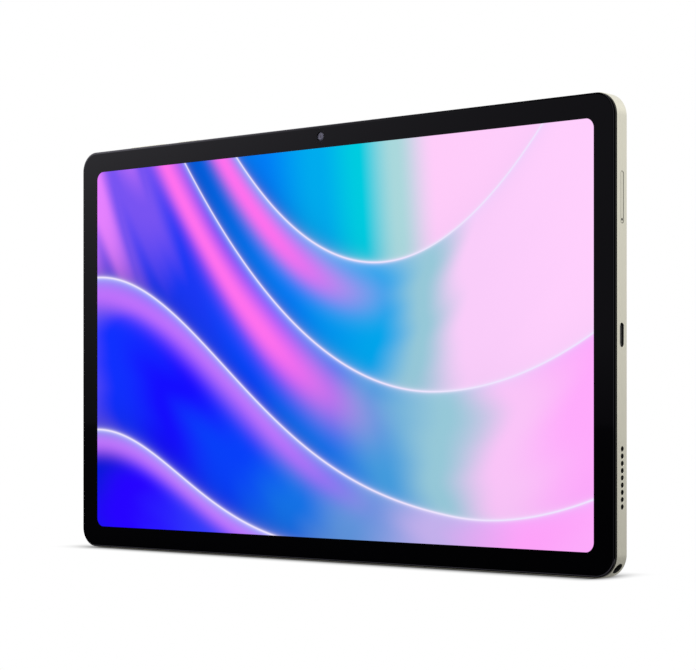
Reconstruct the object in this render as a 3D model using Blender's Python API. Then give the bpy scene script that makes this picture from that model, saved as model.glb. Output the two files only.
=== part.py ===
"""Tablet computer with its internal pieces, standing on its long lower edge.

The frame has X to the right seen from the front, Y to the rear and Z up. The origin is the
middle of the lower edge at half the thickness. Sizes here are millimetres, scaled once by MM.
Pieces are given by the spans they fill, as (low, high) pairs along X, Y and Z.
"""
import math

import bmesh
import bpy
from mathutils import Matrix, Vector

MM = 0.001
GAP = 0.3                  # clearance between neighbouring pieces
THIN_GAP = 0.15            # clearance inside the laminated display stack

# Body
BODY_WIDTH = 279.0
BODY_HEIGHT = 175.0
BODY_DEPTH = 8.0
CORNER_RADIUS = 9.0
WALL = 2.4
BACK_SKIN = 0.9
RIM_DEPTH = 1.75           # the metal starts this far behind the glass face
REAR_FILLET = 0.5
RIM_CHAMFER = 0.3

HALF_WIDTH = BODY_WIDTH / 2
FRONT = -BODY_DEPTH / 2
BACK = BODY_DEPTH / 2
RIM = FRONT + RIM_DEPTH
CAVITY_X = HALF_WIDTH - WALL
CAVITY_Z = (WALL, BODY_HEIGHT - WALL)
CAVITY_BACK = BACK - BACK_SKIN

# Display stack, front to back
DISPLAY_Z = BODY_HEIGHT / 2
GLASS_MARGIN = 0.3
GLASS = (FRONT, FRONT + 0.6)
PANEL = (GLASS[1] + THIN_GAP, GLASS[1] + THIN_GAP + 0.5)
BACKLIGHT = (PANEL[1] + THIN_GAP, PANEL[1] + THIN_GAP + 0.55)
MID_PLATE = (BACKLIGHT[1] + THIN_GAP, BACKLIGHT[1] + THIN_GAP + 0.3)
PANEL_SIZE = (263.2, 158.0)
BEZEL_FRAME = (PANEL[0], PANEL[0] + 0.65)
BEZEL_FRAME_INNER = (264.0, 158.8)

# Space behind the mid plate
BAY_FRONT = MID_PLATE[1] + GAP
BAY_BACK = CAVITY_BACK - GAP
BOARD = (BAY_BACK - 0.9, BAY_BACK - 0.1)
CHIP_BACK = BOARD[0] - GAP

# Openings and keys round the sides, on one line behind the middle of the thickness
SIDE_Y = 0.5
PORT_Z = 87.5
PORT_OPENING = (2.7, 8.7)
PORT_SHELL = (3.16, 8.94)
PORT_SHELL_X = (132.0, 138.2)
PORT_SHELL_WALL = 0.3
TRAY_Z = (127.6, 146.2)
TRAY_DEPTH = 1.95
PINHOLE_Z = 128.9
PINHOLE_RADIUS = 0.45
SPEAKER_HOLES = 9
SPEAKER_HOLE_Z = 26.0
SPEAKER_HOLE_PITCH = 2.575
SPEAKER_HOLE_RADIUS = 0.85
JACK_TILT = math.radians(37.0)
JACK_RADIUS = 1.75
JACK_HOLE_RADIUS = 1.9

# Keys on the upper edge
KEY_RISE = 0.5
KEY_DEPTH = 2.4
POWER_KEY = (-77.2, 13.0)      # middle and length along X
VOLUME_KEY = (-101.7, 21.5)
SWITCH_OFFSET = 7.0

# Cameras and small windows
FRONT_CAMERA_Z = 170.4
REAR_CAMERA = (-122.0, 155.0)
FLASH = (-122.0, 141.0)
MICROPHONE_TOP_X = -50.0
MICROPHONE_LEFT_Z = 87.5
MICROPHONE_HOLE_RADIUS = 0.5
ANTENNA_WINDOW_X = (-52.0, 52.0)
ANTENNA_WINDOW_Z = (163.0, 171.0)

# Mid plate screws, as (x, z)
SCREWS = {
    "screw_upper_left": (-124.0, 169.1),
    "screw_upper_right": (120.0, 169.1),
    "screw_lower_left": (-124.0, 5.9),
    "screw_lower_right": (112.0, 5.9),
}
SCREW_HEAD_RADIUS = 1.5
SCREW_SHANK_RADIUS = 0.5
SCREW_HOLE_RADIUS = 0.85
BOSS_RADIUS = 1.9

CORNER_STEPS = 6
ROUND_STEPS = 20
HOLE_STEPS = 12

FINISHES = {                   # base colour, roughness, metallic
    "anodised_aluminium": ((0.60, 0.54, 0.44), 0.42, 1.0),
    "cover_glass": ((0.01, 0.01, 0.012), 0.04, 0.0),
    "black_plastic": ((0.012, 0.012, 0.013), 0.5, 0.0),
    "display_panel": ((0.02, 0.16, 0.62), 0.25, 0.0),
    "backlight_film": ((0.80, 0.80, 0.80), 0.35, 0.0),
    "stamped_steel": ((0.48, 0.48, 0.50), 0.35, 1.0),
    "battery_pouch": ((0.05, 0.05, 0.055), 0.45, 0.2),
    "circuit_board": ((0.01, 0.09, 0.05), 0.45, 0.0),
    "chip_resin": ((0.015, 0.015, 0.017), 0.55, 0.0),
    "graphite": ((0.06, 0.06, 0.065), 0.6, 0.3),
    "flex_film": ((0.35, 0.16, 0.03), 0.4, 0.0),
    "antenna_plastic": ((0.52, 0.46, 0.37), 0.55, 0.0),
    "camera_glass": ((0.015, 0.015, 0.03), 0.03, 0.0),
    "flash_lens": ((0.85, 0.80, 0.62), 0.2, 0.0),
    "card_resin": ((0.02, 0.02, 0.022), 0.4, 0.0),
    "speaker_cone": ((0.03, 0.03, 0.03), 0.7, 0.0),
}


def clear_scene():
    for obj in list(bpy.data.objects):
        bpy.data.objects.remove(obj, do_unlink=True)


def new_collection(name):
    group = bpy.data.collections.new(name)
    bpy.context.scene.collection.children.link(group)
    return group


def new_finish(name):
    colour, roughness, metallic = FINISHES[name]
    finish = bpy.data.materials.new(name)
    finish.use_nodes = True
    shader = finish.node_tree.nodes["Principled BSDF"]
    shader.inputs["Base Color"].default_value = (*colour, 1.0)
    shader.inputs["Roughness"].default_value = roughness
    shader.inputs["Metallic"].default_value = metallic
    return finish


clear_scene()
PARTS = new_collection("tablet_computer")
CUTTERS = new_collection("cutters")
MATERIALS = {name: new_finish(name) for name in FINISHES}


def around(middle, size):
    """The span of a given size about a middle."""
    return (middle - size / 2, middle + size / 2)


def grown(span, amount):
    return (span[0] - amount, span[1] + amount)


def add_object(name, mesh_data, finish, location, rotation=(0.0, 0.0, 0.0)):
    """Link a finished bmesh as a part, or as a hidden wire cutter when it has no finish."""
    mesh = bpy.data.meshes.new(name)
    mesh_data.to_mesh(mesh)
    mesh_data.free()
    obj = bpy.data.objects.new(name, mesh)
    obj.location = location
    obj.rotation_euler = rotation
    if finish is None:
        CUTTERS.objects.link(obj)
        obj.hide_render = True
        obj.display_type = "WIRE"
    else:
        PARTS.objects.link(obj)
        mesh.materials.append(MATERIALS[finish])
        mesh.shade_smooth()
        mesh.set_sharp_from_angle(angle=math.radians(30.0))
    return obj


def box(name, x, y, z, finish=None, radius=0.0, axis="Y", steps=CORNER_STEPS, origin=None):
    """A solid box between spans; the edges along one axis can be rounded."""
    spans = (x, y, z)
    size = Vector([(high - low) * MM for low, high in spans])
    middle = Vector([(high + low) / 2 * MM for low, high in spans])
    solid = bmesh.new()
    bmesh.ops.create_cube(solid, size=1.0, matrix=Matrix.Diagonal((*size, 1.0)))
    if radius > 0.0:
        along = "XYZ".index(axis)
        edges = [edge for edge in solid.edges
                 if abs((edge.verts[0].co - edge.verts[1].co)[along]) > size[along] / 2]
        bmesh.ops.bevel(solid, geom=edges, offset=radius * MM, segments=steps,
                        profile=0.5, affect="EDGES")
    place = middle if origin is None else Vector(origin) * MM
    bmesh.ops.translate(solid, vec=middle - place, verts=solid.verts)
    return add_object(name, solid, finish, place)


def cylinder(name, centre, radius, length, axis, finish=None, steps=ROUND_STEPS, tip=None):
    """A solid cylinder or cone about its centre, along X, Y or Z."""
    solid = bmesh.new()
    bmesh.ops.create_cone(solid, cap_ends=True, segments=steps, radius1=radius * MM,
                          radius2=(radius if tip is None else tip) * MM, depth=length * MM)
    turn = {"X": (0.0, math.pi / 2, 0.0), "Y": (-math.pi / 2, 0.0, 0.0), "Z": (0.0, 0.0, 0.0)}
    return add_object(name, solid, finish, Vector(centre) * MM, turn[axis])


def row_of_holes(name, x, side_z, count, pitch, radius, length):
    """Parallel round cutters along X, in one object."""
    solid = bmesh.new()
    for index in range(count):
        shift = Matrix.Translation((0.0, 0.0, index * pitch * MM))
        turn = Matrix.Rotation(math.pi / 2, 4, "Y")
        bmesh.ops.create_cone(solid, cap_ends=True, segments=HOLE_STEPS, radius1=radius * MM,
                              radius2=radius * MM, depth=length * MM, matrix=shift @ turn)
    return add_object(name, solid, None, Vector((x, SIDE_Y, side_z)) * MM)


def combine(target, other, operation):
    modifier = target.modifiers.new(other.name, "BOOLEAN")
    modifier.operation = operation
    modifier.solver = "EXACT"
    modifier.object = other


def cut(target, *cutters):
    for cutter in cutters:
        combine(target, cutter, "DIFFERENCE")


def join(target, *additions):
    for addition in additions:
        combine(target, addition, "UNION")


def soften_rim(obj, depth_side, width, steps):
    """Bevel the outline of a plate on its face at one end of Y, in its own mesh."""
    solid = bmesh.new()
    solid.from_mesh(obj.data)
    level = depth_side(vert.co.y for vert in solid.verts)
    edges = [edge for edge in solid.edges
             if all(abs(vert.co.y - level) < MM * MM for vert in edge.verts)]
    bmesh.ops.bevel(solid, geom=edges, offset=width * MM, segments=steps,
                    profile=0.5, affect="EDGES")
    solid.to_mesh(obj.data)
    solid.free()
    obj.data.shade_smooth()
    obj.data.set_sharp_from_angle(angle=math.radians(30.0))


# ---------------------------------------------------------------- housing

def key_openings():
    """Cutters for the two key slots in the upper wall."""
    wall_z = grown(around(BODY_HEIGHT - WALL / 2, WALL), 1.0)
    cutters = []
    for name, (middle, length) in (("power", POWER_KEY), ("volume", VOLUME_KEY)):
        cutters.append(box(name + "_slot_cutter", around(middle, length + 2 * GAP),
                           around(SIDE_Y, KEY_DEPTH + 2 * GAP), wall_z,
                           radius=KEY_DEPTH / 2 * 0.9, axis="Z", steps=4))
    return cutters


def side_openings():
    """Cutters for the port, the card tray and both speaker grilles."""
    wall = grown((CAVITY_X, HALF_WIDTH), 0.6)
    port = box("port_cutter", wall, around(SIDE_Y, PORT_OPENING[0]),
               around(PORT_Z, PORT_OPENING[1]), radius=PORT_OPENING[0] / 2 * 0.95, axis="X")
    pocket = box("port_pocket_cutter", (CAVITY_X - 0.6, PORT_SHELL_X[1] + GAP),
                 around(SIDE_Y, PORT_SHELL[0] + 2 * GAP),
                 around(PORT_Z, PORT_SHELL[1] + 2 * GAP),
                 radius=PORT_SHELL[0] / 2, axis="X")
    tray = box("tray_slot_cutter", wall, around(SIDE_Y, TRAY_DEPTH + GAP), grown(TRAY_Z, GAP / 2),
               radius=TRAY_DEPTH / 2 * 0.9, axis="X")
    middle = (CAVITY_X + HALF_WIDTH) / 2
    grilles = [row_of_holes(name, side * middle, SPEAKER_HOLE_Z, SPEAKER_HOLES,
                            SPEAKER_HOLE_PITCH, SPEAKER_HOLE_RADIUS, WALL + 1.2)
               for name, side in (("grille_cutter_right", 1), ("grille_cutter_left", -1))]
    return [port, pocket, tray, *grilles]


def jack_point(distance):
    """A point on the jack's axis, at a distance from the centre of the corner's arc."""
    centre_x = HALF_WIDTH - CORNER_RADIUS
    return (centre_x + distance * math.cos(JACK_TILT), SIDE_Y,
            CORNER_RADIUS - distance * math.sin(JACK_TILT))


def jack_cylinder(name, near, far, radius, finish=None):
    """A cylinder along the jack's axis between two distances from the arc's centre."""
    obj = cylinder(name, jack_point((near + far) / 2), radius, far - near, "X", finish)
    obj.rotation_euler = (0.0, math.pi / 2 + JACK_TILT, 0.0)
    return obj


def back_openings():
    """Cutters for the rear camera, the flash, the antenna window and the microphones."""
    skin = grown((CAVITY_BACK, BACK), 0.4)
    skin_middle = sum(skin) / 2
    skin_length = skin[1] - skin[0]
    camera = cylinder("camera_hole_cutter", (REAR_CAMERA[0], skin_middle, REAR_CAMERA[1]),
                      4.6, skin_length, "Y", steps=28)
    flash = cylinder("flash_hole_cutter", (FLASH[0], skin_middle, FLASH[1]), 1.9,
                     skin_length, "Y")
    antenna = box("antenna_cutter", ANTENNA_WINDOW_X, skin, ANTENNA_WINDOW_Z, radius=2.0, steps=4)
    top_hole = cylinder("microphone_top_cutter",
                        (MICROPHONE_TOP_X, SIDE_Y, BODY_HEIGHT - WALL / 2),
                        MICROPHONE_HOLE_RADIUS, WALL + 1.0, "Z", steps=8)
    left_hole = cylinder("microphone_left_cutter",
                         (-HALF_WIDTH + WALL / 2, SIDE_Y, MICROPHONE_LEFT_Z),
                         MICROPHONE_HOLE_RADIUS, WALL + 1.0, "X", steps=8)
    return [camera, flash, antenna, top_hole, left_hole]


def build_housing():
    """The metal body: side walls and back in one piece, with a boss for each screw."""
    housing = box("housing", around(0.0, BODY_WIDTH), (RIM, BACK), (0.0, BODY_HEIGHT),
                  "anodised_aluminium", radius=CORNER_RADIUS, steps=8)
    soften_rim(housing, max, REAR_FILLET, 3)
    soften_rim(housing, min, RIM_CHAMFER, 1)
    pocket = box("cavity_cutter", around(0.0, 2 * CAVITY_X), (RIM - 1.0, CAVITY_BACK), CAVITY_Z,
                 radius=CORNER_RADIUS - WALL)
    cut(housing, pocket)
    boss_span = (BAY_FRONT, CAVITY_BACK + BACK_SKIN / 2)
    for name, (x, z) in SCREWS.items():
        boss = cylinder(name + "_boss", (x, sum(boss_span) / 2, z), BOSS_RADIUS,
                        boss_span[1] - boss_span[0], "Y", steps=HOLE_STEPS)
        bore = cylinder(name + "_bore", (x, BAY_FRONT + 0.9, z), SCREW_HOLE_RADIUS, 3.8, "Y",
                        steps=HOLE_STEPS)
        join(housing, boss)
        cut(housing, bore)
    cut(housing, *side_openings(), *key_openings(), *back_openings())
    cut(housing, jack_cylinder("jack_hole_cutter", 5.0, 10.5, JACK_HOLE_RADIUS))


def build_antenna_window():
    box("antenna_window", grown(ANTENNA_WINDOW_X, -GAP), (CAVITY_BACK + 0.1, BACK),
        grown(ANTENNA_WINDOW_Z, -GAP), "antenna_plastic", radius=1.7, steps=4)


# ---------------------------------------------------------------- display

def build_cover_glass():
    glass = box("cover_glass", around(0.0, BODY_WIDTH - 2 * GLASS_MARGIN), GLASS,
                (GLASS_MARGIN, BODY_HEIGHT - GLASS_MARGIN), "cover_glass",
                radius=CORNER_RADIUS - GLASS_MARGIN, steps=8)
    soften_rim(glass, min, 0.3, 2)


def build_bezel_frame():
    """The ring under the glass, seen as a black lip, with an opening for the front camera."""
    frame = box("display_bezel_frame", around(0.0, BODY_WIDTH - 2 * GLASS_MARGIN), BEZEL_FRAME,
                (GLASS_MARGIN, BODY_HEIGHT - GLASS_MARGIN), "black_plastic",
                radius=CORNER_RADIUS - GLASS_MARGIN, steps=8)
    opening = box("bezel_frame_cutter", around(0.0, BEZEL_FRAME_INNER[0]),
                  grown(BEZEL_FRAME, 0.5), around(DISPLAY_Z, BEZEL_FRAME_INNER[1]))
    camera = cylinder("front_camera_cutter", (0.0, sum(BEZEL_FRAME) / 2, FRONT_CAMERA_Z),
                      1.4, 2.0, "Y", steps=HOLE_STEPS)
    cut(frame, opening, camera)


def build_display():
    width, height = PANEL_SIZE
    box("lcd_panel", around(0.0, width), PANEL, around(DISPLAY_Z, height), "display_panel",
        radius=1.0, steps=2)
    box("backlight_unit", around(0.0, width - 0.4), BACKLIGHT,
        around(DISPLAY_Z, height - 0.4), "backlight_film", radius=1.0, steps=2)


def build_mid_plate():
    """The stamped plate behind the display, clear of the front camera and the jack."""
    plate = box("mid_plate", around(0.0, 262.4), MID_PLATE, (3.4, 171.6), "stamped_steel",
                radius=3.0, steps=3)
    depth = grown(MID_PLATE, 0.5)
    cut(plate, box("plate_camera_notch", (-2.5, 10.8), depth, (167.9, 173.0)),
        box("plate_jack_notch", (119.0, 133.0), depth, (2.0, 19.0)),
        box("plate_window_left", (-104.0, -36.0), depth, (40.0, 130.0), radius=4.0, steps=3),
        box("plate_window_right", (-15.0, 53.0), depth, (40.0, 130.0), radius=4.0, steps=3))
    for name, (x, z) in SCREWS.items():
        cut(plate, cylinder(name + "_plate_hole", (x, sum(MID_PLATE) / 2, z),
                            SCREW_HOLE_RADIUS, 1.3, "Y", steps=HOLE_STEPS))


def build_screws():
    """Each screw is a flat head in front of the mid plate and a shank down its boss."""
    head = (MID_PLATE[0] - 0.5, MID_PLATE[0] - 0.1)
    shank = (head[1] - 0.1, BAY_FRONT + 2.3)
    for name, (x, z) in SCREWS.items():
        screw = cylinder(name, (x, sum(head) / 2, z), SCREW_HEAD_RADIUS, head[1] - head[0], "Y",
                         "stamped_steel", steps=HOLE_STEPS)
        stem = cylinder(name + "_shank", (x, sum(shank) / 2, z), SCREW_SHANK_RADIUS,
                        shank[1] - shank[0], "Y", steps=8)
        join(screw, stem)


# ---------------------------------------------------------------- power and electronics

def build_battery():
    """Two pouch cells side by side, their protection board and the cable to the main board."""
    cell_y = (BAY_FRONT + GAP, BAY_BACK - 0.2)
    cell_z = (14.0, 146.0)
    box("battery_cell_left", (-113.0, -27.0), cell_y, cell_z, "battery_pouch", 2.0, steps=3)
    box("battery_cell_right", (-24.0, 62.0), cell_y, cell_z, "battery_pouch", 2.0, steps=3)
    box("battery_protection_board", (-48.0, 40.0), (0.6, 1.4), (148.5, 153.5), "circuit_board")
    box("battery_cable", (40.5, 78.0), (1.3, 1.5), (149.0, 153.0), "flex_film")


def build_main_board():
    """The board fills the right-hand side, notched for the port that sits in its plane."""
    board = box("main_board", (70.0, 136.4), BOARD, (58.0, 161.0), "circuit_board", 1.5, steps=2)
    cut(board, box("board_port_notch", (PORT_SHELL_X[0] - 0.4, 137.0), grown(BOARD, 0.5),
                   around(PORT_Z, PORT_SHELL[1] + 0.8)))
    chips = {
        "processor": ((83.0, 98.0), 1.1, (99.0, 114.0)),
        "memory_chip": ((83.0, 95.0), 0.8, (83.5, 95.5)),
        "storage_chip": ((101.0, 112.5), 0.9, (99.0, 112.0)),
        "power_chip": ((84.0, 91.0), 0.7, (66.0, 73.0)),
    }
    for name, (x, height, z) in chips.items():
        box(name, x, (CHIP_BACK - height, CHIP_BACK), z, "chip_resin", 0.3, steps=1)
    box("wifi_module", (76.0, 90.0), (CHIP_BACK - 1.4, CHIP_BACK), (140.0, 148.5),
        "stamped_steel", 0.4, steps=1)


def build_processor_shield():
    """A pressed can over the chips, open towards the board."""
    x, y, z = (80.0, 115.0), (-0.2, CHIP_BACK - 0.05), (80.5, 117.0)
    can = box("processor_shield", x, y, z, "stamped_steel", 0.8, steps=2)
    sheet = 0.25
    cut(can, box("shield_cutter", grown(x, -sheet), (y[0] + sheet, y[1] + 1.0), grown(z, -sheet)))
    box("graphite_sheet", (74.0, 113.0), (-0.75, -0.55), (76.0, 121.0), "graphite")


def build_port():
    """The charging and data socket: a drawn shell round a flat contact tongue."""
    shell = box("usb_c_shell", PORT_SHELL_X, around(SIDE_Y, PORT_SHELL[0]),
                around(PORT_Z, PORT_SHELL[1]), "stamped_steel", radius=PORT_SHELL[0] / 2 * 0.95,
                axis="X", steps=5)
    wall = PORT_SHELL_WALL
    inside = (PORT_SHELL[0] - 2 * wall, PORT_SHELL[1] - 2 * wall)
    cut(shell, box("port_shell_cutter", (PORT_SHELL_X[0] + wall, PORT_SHELL_X[1] + 1.0),
                   around(SIDE_Y, inside[0]), around(PORT_Z, inside[1]),
                   radius=inside[0] / 2 * 0.95, axis="X", steps=5))
    box("usb_c_tongue", (PORT_SHELL_X[0] + wall + GAP, PORT_SHELL_X[1] - 0.8),
        around(SIDE_Y, 0.7), around(PORT_Z, 6.6), "black_plastic", radius=0.15, axis="X", steps=1)


def build_headphone_jack():
    """A moulded socket set on the corner's diagonal, with a round neck and a blind bore."""
    mouth, tail = 5.4, -7.0
    jack = box("headphone_jack", (tail, mouth), (-2.1, 2.2), around(0.0, 6.0), "black_plastic",
               radius=0.6, axis="X", steps=2, origin=(0.0, 0.0, 0.0))
    jack.location = Vector(jack_point(0.0)) * MM
    jack.rotation_euler = (0.0, JACK_TILT, 0.0)
    join(jack, jack_cylinder("jack_neck", mouth - 1.5, 6.2, JACK_RADIUS + 0.4))
    cut(jack, jack_cylinder("jack_bore_cutter", tail + 1.2, 7.0, JACK_RADIUS))


def build_flex_cables():
    """Ribbons from the display and from the audio corner to the main board."""
    display = box("display_flex", (133.0, 133.2), (-2.3, 1.5), (61.0, 79.0), "flex_film")
    join(display, box("display_flex_leaf", (122.0, 133.1), (1.3, 1.5), (61.0, 79.0)))
    audio = box("audio_flex", (104.0, 110.0), (1.4, 1.6), (9.0, 66.0), "flex_film")
    join(audio, box("audio_flex_leaf", (109.0, 116.5), (1.4, 1.6), (9.0, 14.0)))


def build_antenna_and_microphones():
    box("wifi_antenna", (-48.0, -10.0), (1.9, 2.7), (163.6, 170.0), "flex_film")
    box("microphone_top", around(MICROPHONE_TOP_X, 3.5), around(SIDE_Y, 2.6),
        (CAVITY_Z[1] - GAP - 1.1, CAVITY_Z[1] - GAP), "stamped_steel", 0.2, steps=1)
    wall = CAVITY_X - GAP
    box("microphone_left", (-wall, -wall + 1.1), around(SIDE_Y, 2.6),
        around(MICROPHONE_LEFT_Z, 3.5), "stamped_steel", 0.2, steps=1)


# ---------------------------------------------------------------- sound

def build_speaker(side, name):
    """One speaker box behind its grille, with a sliding diaphragm and a dust mesh."""
    def across(near, far):
        return tuple(sorted((side * near, side * far)))

    grille_z = (SPEAKER_HOLE_Z, SPEAKER_HOLE_Z + (SPEAKER_HOLES - 1) * SPEAKER_HOLE_PITCH)
    mesh_x = (CAVITY_X - GAP - 0.25, CAVITY_X - GAP)
    case_x = (116.0, mesh_x[0] - GAP)
    case = box("speaker_" + name, across(*case_x), (BAY_FRONT + 0.1, BAY_BACK - 0.1),
               grown(grille_z, 4.0), "black_plastic", radius=1.0, steps=2)
    cone_x, cone_z = (119.5, 128.5), around(sum(grille_z) / 2, 15.0)
    well = box("speaker_well_" + name, across(*grown(cone_x, GAP)), (BAY_FRONT - 0.5, 0.3),
               grown(cone_z, GAP), radius=3.0, steps=3)
    port = box("speaker_port_" + name, across(case_x[1] - 4.0, case_x[1] + 1.0),
               around(SIDE_Y, 2.2), grown(grille_z, 1.0))
    cut(case, well, port)
    box("speaker_diaphragm_" + name, across(*cone_x), (-0.65, -0.35), cone_z, "speaker_cone",
        radius=2.7, steps=3)
    box("speaker_mesh_" + name, across(*mesh_x), around(SIDE_Y, 3.0), grown(grille_z, 2.0),
        "stamped_steel")


# ---------------------------------------------------------------- cameras

def build_front_camera():
    box("front_camera", around(0.0, 3.8), (BEZEL_FRAME[1] + GAP, 0.6),
        around(FRONT_CAMERA_Z, 3.8), "black_plastic", 0.3, steps=1)
    cylinder("front_camera_lens", (0.0, sum(BEZEL_FRAME) / 2, FRONT_CAMERA_Z), 1.1,
             BEZEL_FRAME[1] - BEZEL_FRAME[0], "Y", "camera_glass", HOLE_STEPS, tip=0.8)
    box("light_sensor", around(9.0, 2.2), (-2.3, -1.4), around(FRONT_CAMERA_Z, 1.6),
        "chip_resin")


def build_rear_camera():
    """The focusing camera behind its window: the lens barrel slides in the module's bore."""
    x, z = REAR_CAMERA
    module = box("rear_camera", around(x, 9.2), (BAY_FRONT + 0.1, BAY_BACK), around(z, 9.2),
                 "black_plastic", 0.8, steps=2)
    cut(module, cylinder("camera_bore_cutter", (x, 2.3, z), 2.9, 3.4, "Y"))
    barrel = (1.0, 2.6)
    lens = cylinder("rear_camera_lens", (x, sum(barrel) / 2, z), 2.5, barrel[1] - barrel[0], "Y",
                    "camera_glass")
    lens.rotation_euler = (-math.pi / 2, 0.0, 0.0)
    window = (CAVITY_BACK + GAP, BACK - 0.2)
    cylinder("rear_camera_window", (x, sum(window) / 2, z), 2.9, window[1] - window[0], "Y",
             "camera_glass", 24)
    trim = (CAVITY_BACK + GAP, BACK)
    ring = cylinder("rear_camera_ring", (x, sum(trim) / 2, z), 4.3, trim[1] - trim[0], "Y",
                    "stamped_steel", 28)
    cut(ring, cylinder("camera_ring_cutter", (x, sum(trim) / 2, z), 3.2, 2.0, "Y", steps=24))


def build_flash():
    x, z = FLASH
    lens = (CAVITY_BACK + GAP, BACK)
    cylinder("flash_window", (x, sum(lens) / 2, z), 1.6, lens[1] - lens[0], "Y", "flash_lens")
    box("flash_led", around(x, 2.2), (1.8, 2.7), around(z, 2.2), "flash_lens")


# ---------------------------------------------------------------- keys

KEY_TOP = BODY_HEIGHT + KEY_RISE
KEY_FLANGE = (CAVITY_Z[1] - 1.1, CAVITY_Z[1] - 0.4)
KEY_NIB_Z = KEY_FLANGE[0] - 0.5
PLUNGER_TOP = KEY_NIB_Z - GAP
PLUNGER_HEIGHT = 0.5
SWITCH_TOP = PLUNGER_TOP - PLUNGER_HEIGHT - 0.6
SWITCH_HEIGHT = 1.0


def build_key(name, middle, length, nibs, pivot_z):
    """A key cap with a retaining flange inside the wall and nibs over its switches."""
    cap = box(name, around(middle, length), around(SIDE_Y, KEY_DEPTH),
              (KEY_FLANGE[1] - 0.1, KEY_TOP), "anodised_aluminium",
              radius=KEY_DEPTH / 2 * 0.9, axis="Z", steps=4, origin=(middle, SIDE_Y, pivot_z))
    join(cap, box(name + "_flange", around(middle, length + 2.2), around(SIDE_Y, KEY_DEPTH),
                  KEY_FLANGE))
    for index, offset in enumerate(nibs):
        join(cap, box(name + "_nib" + str(index), around(middle + offset, 2.0),
                      around(SIDE_Y, 1.6), (KEY_NIB_Z, KEY_FLANGE[0] + 0.2)))


def build_power_key():
    middle, length = POWER_KEY
    build_key("power_key", middle, length, (0.0,), BODY_HEIGHT)
    box("power_switch_plunger", around(middle, 1.6), around(SIDE_Y, 1.6),
        (PLUNGER_TOP - PLUNGER_HEIGHT, PLUNGER_TOP), "black_plastic")
    box("power_switch", around(middle, 3.4), around(SIDE_Y, 2.4),
        (SWITCH_TOP - SWITCH_HEIGHT, SWITCH_TOP), "stamped_steel")


def build_volume_rocker():
    """The rocker tips about a line across the wall; each end sits over its own switch."""
    middle, length = VOLUME_KEY
    build_key("volume_rocker", middle, length, (-SWITCH_OFFSET, SWITCH_OFFSET),
              sum(KEY_FLANGE) / 2)
    for name, side in (("volume_up_switch", -1), ("volume_down_switch", 1)):
        x = middle + side * SWITCH_OFFSET
        switch = box(name, around(x, 3.4), around(SIDE_Y, 2.4),
                     (SWITCH_TOP - SWITCH_HEIGHT, SWITCH_TOP), "stamped_steel")
        join(switch, box(name + "_button", around(x, 1.6), around(SIDE_Y, 1.6),
                         (SWITCH_TOP - 0.1, PLUNGER_TOP)))


def build_key_flex():
    """The ribbon that carries the three switches."""
    top = SWITCH_TOP - SWITCH_HEIGHT - GAP
    box("side_key_flex", (-113.0, -70.0), around(SIDE_Y, 2.2), (top - 0.2, top), "flex_film")


# ---------------------------------------------------------------- card tray

RAIL_Y = around(SIDE_Y, 0.9)
CARD_Y = around(SIDE_Y, 0.7)
CARRIER_Z = (131.9, 145.3)
CARRIER_END = 113.4
CARD_LENGTH = 15.0
CARD_WIDTH = 11.0
CARD_X = 115.2
LEVER_PIVOT = (110.2, 134.0)
LEVER_HALF_WIDTH = 0.8
READER_X = (107.4, 136.6)
READER_Z = (127.0, 146.8)
READER_FRONT = -1.15
READER_SHEET = 0.25


def build_card_tray():
    """A capped drawer with an eject pinhole, and the memory card in its window."""
    cap_x = (CAVITY_X - 0.2, HALF_WIDTH)
    tray = box("card_tray", cap_x, around(SIDE_Y, TRAY_DEPTH - GAP), grown(TRAY_Z, -GAP / 2),
               "anodised_aluminium", radius=TRAY_DEPTH / 2 * 0.8, axis="X", steps=4)
    card_z = around(sum(CARRIER_Z) / 2, CARD_WIDTH)
    card_x = (CARD_X, CARD_X + CARD_LENGTH)
    join(tray, box("tray_carrier", (CARRIER_END, cap_x[0] + 0.5), RAIL_Y, CARRIER_Z))
    cut(tray, box("tray_window_cutter", grown(card_x, GAP), grown(RAIL_Y, 0.5),
                  grown(card_z, GAP), radius=0.8, steps=2),
        cylinder("pinhole_cutter", (sum(cap_x) / 2, SIDE_Y, PINHOLE_Z), PINHOLE_RADIUS,
                 cap_x[1] - cap_x[0] + 1.0, "X", steps=8))
    box("memory_card", card_x, CARD_Y, card_z, "card_resin", radius=0.6, steps=1)


def build_card_reader():
    """The pressed cover over the drawer, open to the board and at the slot."""
    cover = box("card_reader_shell", READER_X, (READER_FRONT, CHIP_BACK - 0.05), READER_Z,
                "stamped_steel")
    cut(cover, box("reader_cutter", (READER_X[0] + READER_SHEET, READER_X[1] + 1.0),
                   (READER_FRONT + READER_SHEET, CHIP_BACK + 1.0),
                   grown(READER_Z, -READER_SHEET)))


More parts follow.
